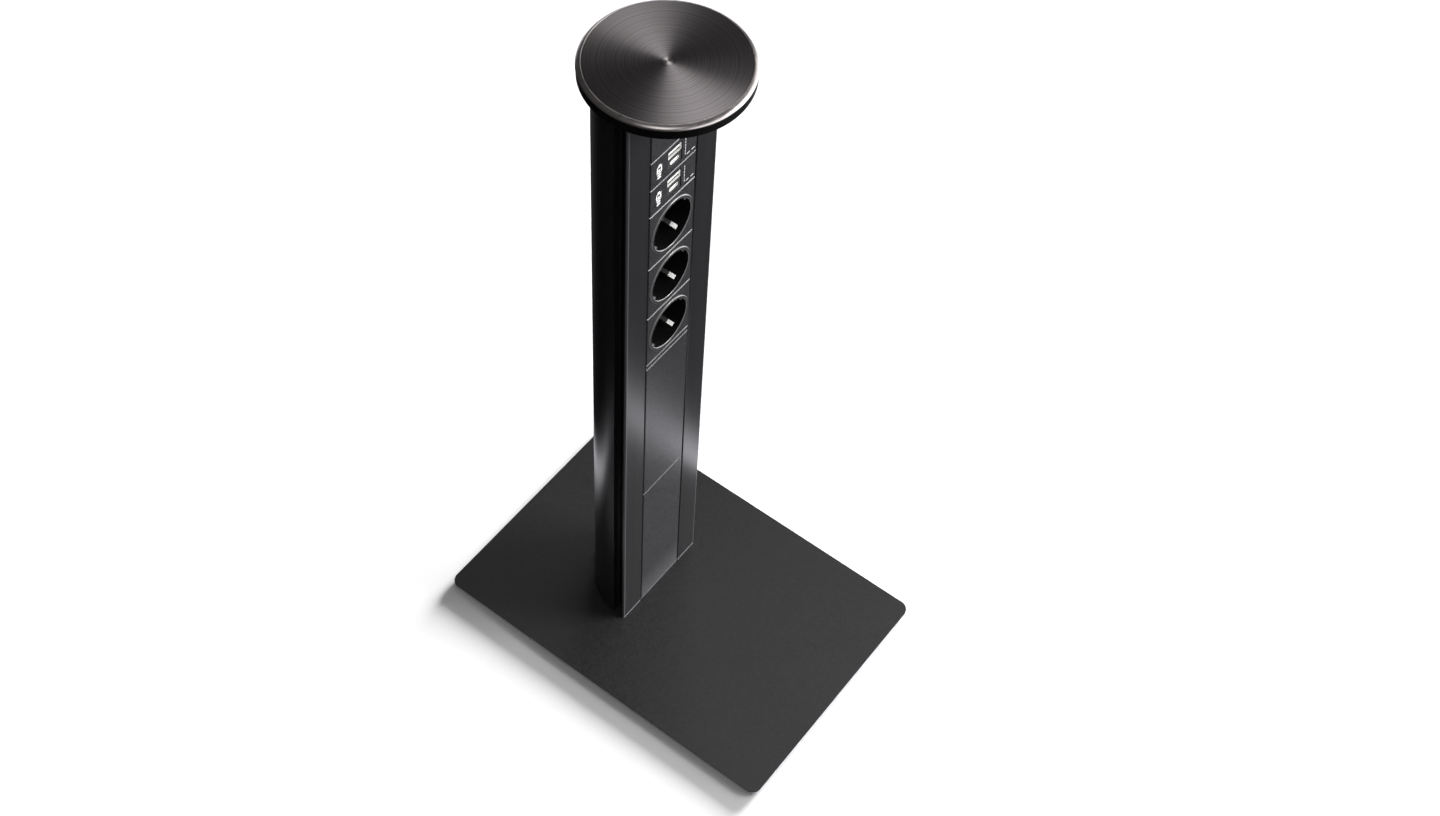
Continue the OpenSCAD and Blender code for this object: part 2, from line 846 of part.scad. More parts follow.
module earth_bar() {
  color(brass)
  difference() {
    upright_bar(0, earth_bar_front, bars_bottom, socket_z(1) + 2 * bar_w);
    for (k = [1:socket_count]) on_face(socket_z(k))
      disc(rivet_r + thread_gap, earth_bar_front - past, earth_bar_front + bar_t + past);
  }
}

rail_side = 2;

// Rail behind the bars, on two ribs that stand on the round wall
module busbar_rail() {
  rail_front = bar_front + bar_t - face_offset;
  half = bar_x + bar_w / 2 + rail_side;
  color("#e4e0d6")
  on_axis(bars_bottom) linear_extrude(bars_top - bars_bottom) intersection() {
    circle(inner_r - seat_gap);
    union() {
      translate([-half, rail_front]) square([2 * half, rail_t]);
      for (s = [0, 1]) mirror([s, 0]) translate([half - rail_t, rail_front]) square([rail_t, tower_r]);
    }
  }
}

module supply_wires() {
  top = deck_z + terminal_z + terminal_h;
  color("#6d5038")
  for (p = [[-bar_x, bar_front], [0, earth_bar_front], [bar_x, bar_front]])
    translate([p[0], face_y + p[1] + bar_t / 2, top])
      cylinder(d = wire_insulation_d, h = bars_bottom - top);
}

terminal_forward = 2;
terminal_side = 2;
screw_hole_r = 2;
screw_hole_depth = 5;

module mains_terminal() {
  front = base_back - terminal_forward - face_offset;
  half = bar_x + wire_insulation_d + terminal_side;
  color("#e4e0d6")
  on_axis(deck_z + terminal_z) difference() {
    linear_extrude(terminal_h) intersection() {
      circle(inner_r - seat_gap);
      translate([-half, front]) square([2 * half, tower_r]);
    }
    for (x = [-bar_x, 0, bar_x]) translate([x, front - past, terminal_h / 2]) rotate([-90, 0, 0])
      cylinder(r = screw_hole_r, h = screw_hole_depth + past);
  }
}

gland_flange_t = 2.5;
gland_dome_h = 3;
gland_inside = 9;
gland_dome_in = 2;
gland_dome_out = 1;
nut_t = 4;

// Children drawn along the gland's axis, with Z out through the round wall
module on_gland() {
  on_axis(deck_z + gland_z) rotate([-90, 0, 0]) children();
}

module cable_gland() {
  flange_end = tower_r + gland_flange_t;
  inner_end = inner_r - gland_inside;
  color("#1c1c1e")
  difference() {
    on_gland() union() {
      translate([0, 0, inner_end]) cylinder(d = gland_shank_d, h = flange_end - inner_end);
      difference() {
        translate([0, 0, tower_r - 2 * gland_flange_t])
          cylinder(d = gland_flange_d, h = 3 * gland_flange_t);
        rotate([90, 0, 0]) translate([0, 0, -gland_flange_d])
          cylinder(r = tower_r + thread_gap, h = 2 * gland_flange_d);
      }
      translate([0, 0, flange_end])
        cylinder(d1 = gland_shank_d + gland_dome_out, d2 = gland_shank_d - gland_dome_in, h = gland_dome_h);
    }
    on_gland() translate([0, 0, inner_end - past])
      cylinder(d = gland_bore, h = flange_end + gland_dome_h - inner_end + 2 * past);
  }
}

module gland_nut() {
  color("#1c1c1e")
  difference() {
    intersection() {
      on_gland() translate([0, 0, inner_r - nut_t - gland_flange_t])
        cylinder(d = gland_flange_d, h = tower_r, $fn = 6);
      on_axis(deck_z) cylinder(r = inner_r - thread_gap, h = 2 * gland_z);
    }
    on_gland() cylinder(r = gland_shank_d / 2 + thread_gap, h = 2 * tower_r);
  }
}

// USB charger

usb_a_size = [12.5, 5.1];
usb_a_depth = 12;
usb_c_size = [8.34, 2.56];
usb_c_depth = 8;
usb_a_tongue = [11.1, 1.9];
usb_c_tongue = [6.7, 0.7];
usb_room = 1;
usb_a_tongue_gap = 0.2;
tongue_recess = 0.5;
nose_gap = 0.15;
nose_root = 3;
usb_body_gap = 1;
blade_w = 3;
blade_t = 1;

module usb_a_outline(wall) {
  square([usb_a_size[0] + 2 * wall, usb_a_size[1] + 2 * wall], center = true);
}

module usb_c_outline(wall) {
  h = usb_c_size[1];
  span = usb_c_size[0] - h;
  union() {
    square([span, h + 2 * wall], center = true);
    for (s = [-1, 1]) translate([s * span / 2, 0]) circle(h / 2 + wall);
  }
}

// Children drawn as a flat outline and carried from one depth back to another
module into_front(front, back) {
  translate([0, 0, -back]) linear_extrude(back - front) children();
}

module usb_frame(k) {
  color(plastic_black)
  difference() {
    inlay(usb_z(k) - usb_h / 2, usb_h);
    on_face(usb_z(k)) into_front(-past, inlay_t + past)
      translate([usb_window_x, 0]) square([usb_window_w, usb_window_h], center = true);
  }
}

module usb_charger(k) {
  color("#28282a")
  on_face(usb_z(k)) difference() {
    union() {
      into_front(usb_recess, inlay_t + nose_root) translate([usb_window_x, 0])
        square([usb_window_w - 2 * nose_gap, usb_window_h - 2 * nose_gap], center = true);
      into_front(inlay_t + nose_gap, usb_body_depth)
        square([usb_body_w, usb_h - 2 * usb_body_gap], center = true);
      for (s = [-1, 1]) translate([s * bar_x - blade_w / 2, -blade_t / 2, -bar_front])
        cube([blade_w, blade_t, bar_front - usb_body_depth + past]);
    }
    translate([usb_window_x, usb_a_y, 0]) into_front(-past, usb_recess + usb_a_depth + usb_room)
      usb_a_outline(usb_shell_t);
    translate([usb_window_x, usb_c_y, 0]) into_front(-past, usb_recess + usb_c_depth + usb_room)
      usb_c_outline(usb_shell_t);
  }
}

module usb_shells(k) {
  color(steel)
  on_face(usb_z(k)) {
    translate([usb_window_x, usb_a_y, 0]) into_front(usb_recess, usb_recess + usb_a_depth) difference() {
      usb_a_outline(usb_shell_t);
      usb_a_outline(0);
    }
    translate([usb_window_x, usb_c_y, 0]) into_front(usb_recess, usb_recess + usb_c_depth) difference() {
      usb_c_outline(usb_shell_t);
      usb_c_outline(0);
    }
  }
}

module usb_tongues(k) {
  front = usb_recess + tongue_recess;
  color("#f0f0ee")
  on_face(usb_z(k)) {
    translate([usb_window_x, usb_a_y + usb_a_tongue[1] / 2 + usb_a_tongue_gap, 0])
      into_front(front, usb_recess + usb_a_depth + usb_room)
        square(usb_a_tongue, center = true);
    translate([usb_window_x, usb_c_y, 0])
      into_front(front, usb_recess + usb_c_depth + usb_room)
        square(usb_c_tongue, center = true);
  }
}

echo(least_gap_in_spring = spring_gap);

base_plate();
base_mat();
base_screws();
tower_profile();
cap_ring();
cap_disc();
cap_screws();
top_cover();
upper_cover();
lower_cover();
spacer_strip();
socket_insert(1);  // socket_insert_1
socket_insert(2);  // socket_insert_2
socket_insert(3);  // socket_insert_3
socket_base(1);  // socket_base_1
socket_base(2);  // socket_base_2
socket_base(3);  // socket_base_3
earth_clip(1);  // earth_clip_1
earth_clip(2);  // earth_clip_2
earth_clip(3);  // earth_clip_3
pin_contacts(1);  // pin_contacts_1
pin_contacts(2);  // pin_contacts_2
pin_contacts(3);  // pin_contacts_3
shutter(1);  // shutter_1
shutter(2);  // shutter_2
shutter(3);  // shutter_3
shutter_spring(1);  // shutter_spring_1
shutter_spring(2);  // shutter_spring_2
shutter_spring(3);  // shutter_spring_3
socket_screws();
earth_rivets();
usb_frame(1);  // usb_frame_1
usb_frame(2);  // usb_frame_2
usb_charger(1);  // usb_charger_1
usb_charger(2);  // usb_charger_2
usb_shells(1);  // usb_shells_1
usb_shells(2);  // usb_shells_2
usb_tongues(1);  // usb_tongues_1
usb_tongues(2);  // usb_tongues_2
live_bar();
neutral_bar();
earth_bar();
busbar_rail();
supply_wires();
mains_terminal();
cable_gland();
gland_nut();
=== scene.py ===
import json
import math
import bmesh
import bpy
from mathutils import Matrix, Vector


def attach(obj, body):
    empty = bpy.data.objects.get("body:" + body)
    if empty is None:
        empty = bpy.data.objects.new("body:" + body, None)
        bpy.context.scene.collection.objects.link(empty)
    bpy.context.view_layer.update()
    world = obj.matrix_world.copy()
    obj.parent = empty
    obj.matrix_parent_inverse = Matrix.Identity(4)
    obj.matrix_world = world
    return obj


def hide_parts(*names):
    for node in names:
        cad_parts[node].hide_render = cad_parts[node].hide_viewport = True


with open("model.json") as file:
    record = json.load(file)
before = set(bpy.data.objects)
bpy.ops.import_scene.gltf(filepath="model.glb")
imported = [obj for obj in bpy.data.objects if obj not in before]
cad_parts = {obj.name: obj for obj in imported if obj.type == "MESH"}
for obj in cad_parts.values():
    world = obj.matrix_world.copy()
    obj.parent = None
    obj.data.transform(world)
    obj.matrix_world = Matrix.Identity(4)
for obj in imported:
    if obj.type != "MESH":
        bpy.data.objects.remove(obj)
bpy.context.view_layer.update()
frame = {"nodes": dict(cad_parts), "record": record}
nodes = frame["nodes"]
scene = bpy.context.scene
mm = 0.001
print("frame loaded:", len(nodes), "CAD pieces")

# camera

view = {
    "place": (-0.7209, -0.5059, 1.4666),
    "turn": (36.166, -1.636, -52.490),      # degrees, X Y Z
    "lens": 51.99,                          # mm on a 36 mm sensor
    "shiftX": 0.0243,                       # the picture sits left of the frame's middle
}

camera = bpy.data.objects.new("viewCamera", bpy.data.cameras.new("viewCamera"))
camera.location = view["place"]
camera.rotation_euler = [math.radians(a) for a in view["turn"]]
camera.data.lens = view["lens"]
camera.data.sensor_width = 36
camera.data.sensor_fit = "HORIZONTAL"
camera.data.shift_x = view["shiftX"]
camera.data.clip_start = 0.01
scene.collection.objects.link(camera)
scene.camera = camera
scene.view_settings.view_transform = "Standard"
print("camera ready")

# node helpers


def newFinish(name):
    material = bpy.data.materials.new(name)
    material.use_nodes = True
    tree = material.node_tree
    return material, tree, tree.nodes["Principled BSDF"]


def join(tree, value, socket):      # a socket gets a link, anything else is set as its value
    if isinstance(value, bpy.types.NodeSocket):
        tree.links.new(value, socket)
    else:
        socket.default_value = value


def put(tree, kind, inputs=None, **settings):
    node = tree.nodes.new(kind)
    for key, value in settings.items():
        setattr(node, key, value)
    for key, value in (inputs or {}).items():
        join(tree, value, node.inputs[key])
    return node


def grey(value):
    return (value, value, value, 1)


def cool(value):      # a black with a touch of violet
    return (value, value * 0.985, value * 1.07, 1)


def objectPoint(tree, stretch=(1, 1, 1)):      # metres on the piece itself
    point = put(tree, "ShaderNodeTexCoord").outputs["Object"]
    if stretch == (1, 1, 1):
        return point
    return put(tree, "ShaderNodeMapping", {"Vector": point, "Scale": stretch}).outputs["Vector"]


def axes(tree, vector):
    return put(tree, "ShaderNodeSeparateXYZ", {"Vector": vector}).outputs


def noise(tree, point, scale, detail=2.0):
    return put(tree, "ShaderNodeTexNoise",
               {"Vector": point, "Scale": scale, "Detail": detail, "Roughness": 0.5}).outputs["Fac"]


def spread(tree, value, low, high, fromLow=0.3, fromHigh=0.7):      # noise stays about within 0.3 and 0.7
    return put(tree, "ShaderNodeMapRange", {
        "Value": value, "From Min": fromLow, "From Max": fromHigh,
        "To Min": low, "To Max": high}).outputs["Result"]


def blendColors(tree, factor, first, second):
    return put(tree, "ShaderNodeMix", {0: factor, 6: first, 7: second}, data_type="RGBA").outputs[2]


def blendValues(tree, factor, first, second):
    return spread(tree, factor, first, second, 0.0, 1.0)


def calc(tree, what, a, b=0.0):
    return put(tree, "ShaderNodeMath", {0: a, 1: b}, operation=what).outputs[0]


def times(tree, a, b):
    return calc(tree, "MULTIPLY", a, b)


def vectorCalc(tree, what, a, b=(0, 0, 0)):
    return put(tree, "ShaderNodeVectorMath", {0: a, 1: b}, operation=what).outputs


def bumpFrom(tree, bsdf, height, depth):
    bump = put(tree, "ShaderNodeBump", {"Height": height, "Distance": depth, "Strength": 1.0})
    join(tree, bump.outputs["Normal"], bsdf.inputs["Normal"])


# finishes

powder = {
    "base": 0.0095, "light": 0.0215,      # darkest and lightest grain of the coat
    "grain": 560, "detail": 3.0, "depth": 0.00004,
    "rough": 0.52, "vary": 0.06,
    "patches": 14, "patchShare": 0.25,    # wide patches that lift the coat a little
    "side": 0.62, "reflectBelow": (4.5 * mm, 5.0 * mm),      # the plate's side is light below these heights: a painted reflection of the floor
}


def powderCoat():
    material, tree, bsdf = newFinish("powderCoat")
    point = objectPoint(tree)
    grain = noise(tree, point, powder["grain"], powder["detail"])
    patch = spread(tree, noise(tree, point, powder["patches"]), 0, powder["patchShare"])
    coat = blendColors(tree, spread(tree, grain, 0, 1), grey(powder["base"]), grey(powder["light"]))
    coat = blendColors(tree, patch, coat, grey(powder["light"]))
    # painted reflection of the floor on the plate's lower side
    side = spread(tree, axes(tree, point)["Z"], 1, 0, *powder["reflectBelow"])
    join(tree, blendColors(tree, side, coat, cool(powder["side"])), bsdf.inputs["Base Color"])
    rough = spread(tree, grain, powder["rough"] - powder["vary"], powder["rough"] + powder["vary"])
    join(tree, rough, bsdf.inputs["Roughness"])
    bumpFrom(tree, bsdf, grain, powder["depth"])
    return material


matLook = {"base": 0.06, "light": 0.12, "grain": 700, "rough": 0.85, "depth": 0.00015}


def matRubber():
    material, tree, bsdf = newFinish("matRubber")
    grain = noise(tree, objectPoint(tree), matLook["grain"])
    color = blendColors(tree, grain, grey(matLook["base"]), grey(matLook["light"]))
    join(tree, color, bsdf.inputs["Base Color"])
    join(tree, matLook["rough"], bsdf.inputs["Roughness"])
    bumpFrom(tree, bsdf, grain, matLook["depth"])
    return material


foot = {      # at the column's foot: a light line that is painted highlight on its cut ends, uncoated on the profile, and painted light lifting the faces towards the foot
    "deck": 6 * mm, "line": 1.5 * mm, "fade": 0.5 * mm, "shade": 0.22,
    "paintedLiftTop": 40 * mm, "paintedLift": 0.12, "paintedLiftMost": 0.55,
}


# mask of the painted highlight line along the column's foot
def footLineMask(tree, height):
    top = foot["deck"] + foot["line"]
    return spread(tree, height, 1, 0, top, top + foot["fade"])


profile = {
    "base": 0.0125, "light": 0.0195,
    "lines": 1500, "alongScale": 3.0, "depth": 0.0000015,      # drawing lines along the column
    "sheen": (90, 90, 1.5), "rough": (0.28, 0.305), "ior": 1.60,
    "halfFront": 46.07 * mm, "front": 23.0 * mm, "frontFade": 0.3 * mm,      # where the flat front ends
    "frontEdgeGlint": (0.78 * mm, 1.3 * mm), "frontEdgeGlintShade": 0.11,          # painted highlight along the front's long edges
}


def anodisedProfile():
    material, tree, bsdf = newFinish("anodisedProfile")
    across, along = profile["lines"], profile["alongScale"]
    lines = noise(tree, objectPoint(tree, (across, across, along)), 1.0)
    sheen = noise(tree, objectPoint(tree, profile["sheen"]), 1.0)
    skin = blendColors(tree, spread(tree, lines, 0, 1), cool(profile["base"]), cool(profile["light"]))
    parts = axes(tree, objectPoint(tree))
    fromEdge = calc(tree, "SUBTRACT", profile["halfFront"], calc(tree, "ABSOLUTE", parts["X"]))
    onFront = spread(tree, parts["Y"], 1, 0, profile["front"], profile["front"] + profile["frontFade"])
    # painted highlight along the front's long edges
    frontEdgeGlint = times(tree, spread(tree, fromEdge, 1, 0, *profile["frontEdgeGlint"]), onFront)
    skin = blendColors(tree, frontEdgeGlint, skin, cool(profile["frontEdgeGlintShade"]))
    # painted highlight on the column's foot, where the profile's cut end is uncoated metal
    footLine = times(tree, footLineMask(tree, parts["Z"]), onFront)
    join(tree, blendColors(tree, footLine, skin, cool(foot["shade"])), bsdf.inputs["Base Color"])
    join(tree, spread(tree, sheen, *profile["rough"]), bsdf.inputs["Roughness"])
    join(tree, profile["ior"], bsdf.inputs["IOR"])
    bumpFrom(tree, bsdf, lines, profile["depth"])
    return material


inlay = {
    "base": 0.018, "light": 0.046,
    "grain": 820, "detail": 2.5, "depth": 0.00010,
    "rough": (0.27, 0.39),
}


def inlayFace(tree, point):      # grain, colour and roughness that covers, frames and inserts share
    grain = noise(tree, point, inlay["grain"], inlay["detail"])
    color = blendColors(tree, spread(tree, grain, 0, 1), cool(inlay["base"]), cool(inlay["light"]))
    return grain, color, spread(tree, grain, *inlay["rough"])


def inlayPlastic():
    material, tree, bsdf = newFinish("inlayPlastic")
    point = objectPoint(tree)
    grain, face, rough = inlayFace(tree, point)
    height = axes(tree, point)["Z"]
    # painted light: the covers grow lighter towards the foot, where the plate throws light up
    paintedLift = times(tree, spread(tree, height, 1, 0, foot["deck"], foot["paintedLiftTop"]), foot["paintedLiftMost"])
    face = blendColors(tree, paintedLift, face, cool(foot["paintedLift"]))
    # painted highlight line along the covers' foot
    face = blendColors(tree, footLineMask(tree, height), face, cool(foot["shade"]))
    join(tree, face, bsdf.inputs["Base Color"])
    join(tree, rough, bsdf.inputs["Roughness"])
    bumpFrom(tree, bsdf, grain, inlay["depth"])
    return material


wellLook = {
    "front": 21.1 * mm, "back": 21.4 * mm,       # depths along Y where painted shade darkens the well
    "bore": (19.60 * mm, 19.80 * mm),            # radii between which that ends
    "ribs": (23.2 * mm, 23.6 * mm),              # up to here the ribs' ends keep a painted glint
    "facing": (-0.9, -0.6), "ribGlintShade": 0.16,    # those ends are what looks forward there; their light colour is a painted glint
    # colour of the painted shade deep in the well, and its roughness
    "dark": 0.0035, "rough": 0.34,
    "lowest": 344.7 * mm, "pitch": 51.4 * mm,    # height of the lowest well and their spacing
    "edges": (19.72 * mm, 21.72 * mm),           # radii of the rim's two edges, which carry a painted highlight
    "edgeWidth": 0.34 * mm, "rimGlintShade": 0.26, "edgeRough": 0.24,
}


def wellPlastic():      # the covers' finish with painted shade deep in the well, a glossier well, and painted highlights on its rim's edges and the ribs' ends
    material, tree, bsdf = newFinish("wellPlastic")
    point = objectPoint(tree)
    parts = axes(tree, point)
    half = wellLook["pitch"] / 2
    height = calc(tree, "SUBTRACT", parts["Z"], wellLook["lowest"])
    rise = put(tree, "ShaderNodeMath", {0: height, 1: half, 2: -half}, operation="WRAP").outputs[0]
    wide = calc(tree, "POWER", parts["X"], 2.0)
    high = calc(tree, "POWER", calc(tree, "ABSOLUTE", rise), 2.0)
    radius = calc(tree, "POWER", calc(tree, "ADD", wide, high), 0.5)
    # painted shade deep in the well
    depth = times(tree, spread(tree, parts["Y"], 0, 1, wellLook["front"], wellLook["back"]),
                  spread(tree, radius, 1, 0, *wellLook["bore"]))
    facing = axes(tree, put(tree, "ShaderNodeNewGeometry").outputs["Normal"])["Y"]
    # painted glint on the ribs' forward-looking ends
    ribGlintMask = times(tree, times(tree, spread(tree, facing, 1, 0, *wellLook["facing"]), depth),
                   spread(tree, parts["Y"], 1, 0, *wellLook["ribs"]))
    # painted highlight along the rim's two edges
    away = [calc(tree, "ABSOLUTE", calc(tree, "SUBTRACT", radius, edge)) for edge in wellLook["edges"]]
    near = [spread(tree, gap, 1, 0, wellLook["edgeWidth"] / 2, wellLook["edgeWidth"]) for gap in away]
    rimGlint = times(tree, calc(tree, "MAXIMUM", *near), calc(tree, "SUBTRACT", 1.0, depth))
    grain, face, rough = inlayFace(tree, point)
    face = blendColors(tree, rimGlint, face, grey(wellLook["rimGlintShade"]))
    shadedWell = blendColors(tree, depth, face, grey(wellLook["dark"]))
    join(tree, blendColors(tree, ribGlintMask, shadedWell, grey(wellLook["ribGlintShade"])), bsdf.inputs["Base Color"])
    rough = blendValues(tree, rimGlint, rough, wellLook["edgeRough"])
    join(tree, blendValues(tree, depth, rough, wellLook["rough"]), bsdf.inputs["Roughness"])
    bumpFrom(tree, bsdf, grain, inlay["depth"])
    return material


lathe = {
    "base": (0.172, 0.159, 0.162, 1), "dark": (0.104, 0.096, 0.097, 1),
    "rings": 1300, "detail": 3.0, "depth": 0.000006,
    "spark": (0.42, 0.39, 0.385, 1), "middle": (0.3 * mm, 4 * mm),      # the lighter middle and its reach
    "rough": 0.28, "aniso": 0.88, "turn": 0.25,      # a quarter turn: gloss runs across the turned rings
}


def latheSteel():
    material, tree, bsdf = newFinish("latheSteel")
    flat = vectorCalc(tree, "MULTIPLY", objectPoint(tree), (1, 1, 0))[0]      # from the cap's own axis
    radius = vectorCalc(tree, "LENGTH", flat)["Value"]
    rings = put(tree, "ShaderNodeTexNoise", {
        "W": times(tree, radius, lathe["rings"]), "Detail": lathe["detail"], "Scale": 1.0},
        noise_dimensions="1D").outputs["Fac"]
    turned = blendColors(tree, spread(tree, rings, 0, 1), lathe["dark"], lathe["base"])
    middle = spread(tree, radius, 1, 0, *lathe["middle"])
    join(tree, blendColors(tree, middle, turned, lathe["spark"]), bsdf.inputs["Base Color"])
    join(tree, 1.0, bsdf.inputs["Metallic"])
    join(tree, lathe["rough"], bsdf.inputs["Roughness"])
    join(tree, lathe["aniso"], bsdf.inputs["Anisotropic"])
    join(tree, lathe["turn"], bsdf.inputs["Anisotropic Rotation"])
    tangent = put(tree, "ShaderNodeTangent", direction_type="RADIAL", axis="Z")
    join(tree, tangent.outputs["Tangent"], bsdf.inputs["Tangent"])
    bumpFrom(tree, bsdf, rings, lathe["depth"])
    return material


def scaled(color, share):
    return tuple(min(1, c * share) for c in color[:3]) + (1,)


def plainFinish(name, color, rough, metal, grain, depth=0.0, vary=0.12, roughVary=0.15):
    material, tree, bsdf = newFinish(name)
    speck = noise(tree, objectPoint(tree), grain)
    mottled = blendColors(tree, speck, scaled(color, 1 - vary), scaled(color, 1 + vary))
    sheen = spread(tree, speck, rough * (1 - roughVary), rough * (1 + roughVary))
    join(tree, mottled, bsdf.inputs["Base Color"])
    join(tree, sheen, bsdf.inputs["Roughness"])
    join(tree, metal, bsdf.inputs["Metallic"])
    if depth:
        bumpFrom(tree, bsdf, speck, depth)
    return material


portLook = {
    "steel": (0.97, 0.96, 0.93, 1), "inside": (0.01, 0.01, 0.01, 1), "metal": 0.10,
    "grain": 900, "rough": (0.26, 0.36),
    "front": 23.1 * mm, "back": 23.9 * mm,      # depths along Y where painted shade darkens the port shells
}


def portShell():
    material, tree, bsdf = newFinish("portShell")
    point = objectPoint(tree)
    # painted shade deeper in the port shells
    depth = spread(tree, axes(tree, point)["Y"], 0, 1, portLook["front"], portLook["back"])
    join(tree, blendColors(tree, depth, portLook["steel"], portLook["inside"]), bsdf.inputs["Base Color"])
    join(tree, portLook["metal"], bsdf.inputs["Metallic"])
    sheen = spread(tree, noise(tree, point, portLook["grain"]), *portLook["rough"])
    join(tree, sheen, bsdf.inputs["Roughness"])
    return material


finishes = {      # plain ones: color, roughness, metal, grain, bump depth, variation
    "powder_black": powderCoat(),
    "mat_rubber": matRubber(),
    "anodised_black": anodisedProfile(),
    "inlay_black": inlayPlastic(),
    "lathe_steel": latheSteel(),
    "ring_black": plainFinish("ringGloss", (0.0055, 0.0055, 0.0055), 0.32, 0.0, 900),
    "zinc_steel": plainFinish("zincSteel", (0.55, 0.56, 0.58), 0.35, 1.0, 700, 0.00001),
    "spring_steel": plainFinish("springSteel", (0.5, 0.5, 0.52), 0.3, 1.0, 900),
    "base_grey": plainFinish("baseMoulding", (0.05, 0.05, 0.053), 0.5, 0.0, 1200, 0.00003),
    "nickel_strip": plainFinish("nickelStrip", (0.99, 0.985, 0.97), 0.38, 0.85, 300, 0.0, 0.01),
    "contact_brass": plainFinish("contactBrass", (0.72, 0.52, 0.24), 0.32, 1.0, 500),
    "shutter_white": plainFinish("shutterMoulding", (0.62, 0.61, 0.58), 0.45, 0.0, 900, 0.00002, 0.05),
    "charger_black": plainFinish("chargerMoulding", (0.052, 0.052, 0.055), 0.38, 0.0, 1300, 0.00003),
    "port_steel": portShell(),
    "port_white": plainFinish("portMoulding", (0.95, 0.95, 0.94), 0.35, 0.0, 900, 0.0, 0.03),
    "rail_ivory": plainFinish("railMoulding", (0.62, 0.58, 0.48), 0.5, 0.0, 900, 0.00002, 0.05),
    "wire_skin": plainFinish("wireSkin", (0.10, 0.05, 0.03), 0.4, 0.0, 900),
    "gland_black": plainFinish("glandMoulding", (0.010, 0.010, 0.011), 0.42, 0.0, 1100, 0.00003),
}

ringMatt = 0.15      # the ring's edge stays dark where it is seen at a low angle
ringTree = finishes["ring_black"].node_tree
join(ringTree, ringMatt, ringTree.nodes["Principled BSDF"].inputs["Specular IOR Level"])

for part in frame["record"]["subparts"]:
    mesh = nodes[part["node"]].data
    mesh.materials.clear()
    mesh.materials.append(finishes[part["material_slot"]])
wellFinish = wellPlastic()
for k in (1, 2, 3):
    nodes["socket_insert_%d" % k].data.materials[0] = wellFinish
print("finishes on", len(nodes), "pieces")

# softened edges

edgeRounding = {      # width in mm
    "base_plate": 0.5, "tower_profile": 0.12, "cap_ring": 0.4, "cap_disc": 0.12,
    "top_cover": 0.1, "upper_cover": 0.1, "lower_cover": 0.1, "spacer_strip": 0.08,
    "usb_frame_1": 0.25, "usb_frame_2": 0.25, "usb_charger_1": 0.12, "usb_charger_2": 0.12,
    "cable_gland": 0.3, "gland_nut": 0.3, "base_mat": 0.3,
    "socket_insert_1": 0.15, "socket_insert_2": 0.15, "socket_insert_3": 0.15,
}
rounding = {"weld": 0.000001, "steps": 2, "sharperThan": 32}      # metres, count, degrees


def softenEdges(name, width):
    piece = nodes[name]
    for face in piece.data.polygons:
        face.use_smooth = True
    weld = piece.modifiers.new("weld", "WELD")
    weld.merge_threshold = rounding["weld"]
    bevel = piece.modifiers.new("rounding", "BEVEL")
    bevel.width = width * mm
    bevel.segments = rounding["steps"]
    bevel.limit_method = "ANGLE"
    bevel.angle_limit = math.radians(rounding["sharperThan"])
    bevel.use_clamp_overlap = True
    normals = piece.modifiers.new("normals", "WEIGHTED_NORMAL")
    normals.keep_sharp = True


for name, width in edgeRounding.items():
    softenEdges(name, width)
print("edges rounded")

# turned cap: brushed face, polished rim

cap = {
    "radius": 55.3, "top": 589.2, "under": 586.0,      # mm
    "axisY": 28.9,                                     # how far behind the plate's middle its axis stands
    "face": 51.9, "lip": 0.12, "lipDepth": 0.024,      # the brushed face's radius and the line round it
    "faceRings": (0.6, 12, 26, 40),                    # radii of the rings that the face is made of
    "edgeRings": (0.5, 0.15),                          # and distances of the last ones from its edge
    "chamfer": 0.15, "segments": 160,
    "rimSteps": 14, "rise": 0.12,                      # how far the rim's crown stands over the face
    "rimStart": 46, "crownDepth": 0.9,                 # slope where it starts, and its depth by its width
    "rimColor": (0.36, 0.335, 0.33, 1), "rimDark": 0.9,
    "haze": 260, "hazeDetail": 3.0, "rimRough": (0.27, 0.35),
}


def lathed(name, outline, segments, looks, faceLook, smoothTo=20):
    mesh = bmesh.new()
    turns = [2 * math.pi * i / segments for i in range(segments)]
    rings = [[mesh.verts.new((r * math.cos(a) * mm, r * math.sin(a) * mm, z * mm)) for a in turns]
             for r, z in outline[1:-1]]
    tip = mesh.verts.new((0, 0, outline[0][1] * mm))
    bottom = mesh.verts.new((0, 0, outline[-1][1] * mm))
    for i in range(segments):
        j = (i + 1) % segments
        mesh.faces.new((tip, rings[0][i], rings[0][j]))
        mesh.faces.new((bottom, rings[-1][j], rings[-1][i]))
        for step, (upper, lower) in enumerate(zip(rings, rings[1:])):
            mesh.faces.new((upper[i], lower[i], lower[j], upper[j])).material_index = faceLook(step)
    for face in mesh.faces:
        face.smooth = True
    for edge in mesh.edges:
        if len(edge.link_faces) == 2 and edge.calc_face_angle() > math.radians(smoothTo):
            edge.smooth = False
    data = bpy.data.meshes.new(name)
    mesh.to_mesh(data)
    mesh.free()
    piece = bpy.data.objects.new(name, data)
    scene.collection.objects.link(piece)
    for look in looks:
        data.materials.append(look)
    return piece


def capRimFinish():
    material, tree, bsdf = newFinish("rimPolish")
    haze = noise(tree, objectPoint(tree), cap["haze"], cap["hazeDetail"])
    color = blendColors(tree, haze, scaled(cap["rimColor"], cap["rimDark"]), cap["rimColor"])
    join(tree, color, bsdf.inputs["Base Color"])
    join(tree, 1.0, bsdf.inputs["Metallic"])
    join(tree, spread(tree, haze, *cap["rimRough"]), bsdf.inputs["Roughness"])
    return material


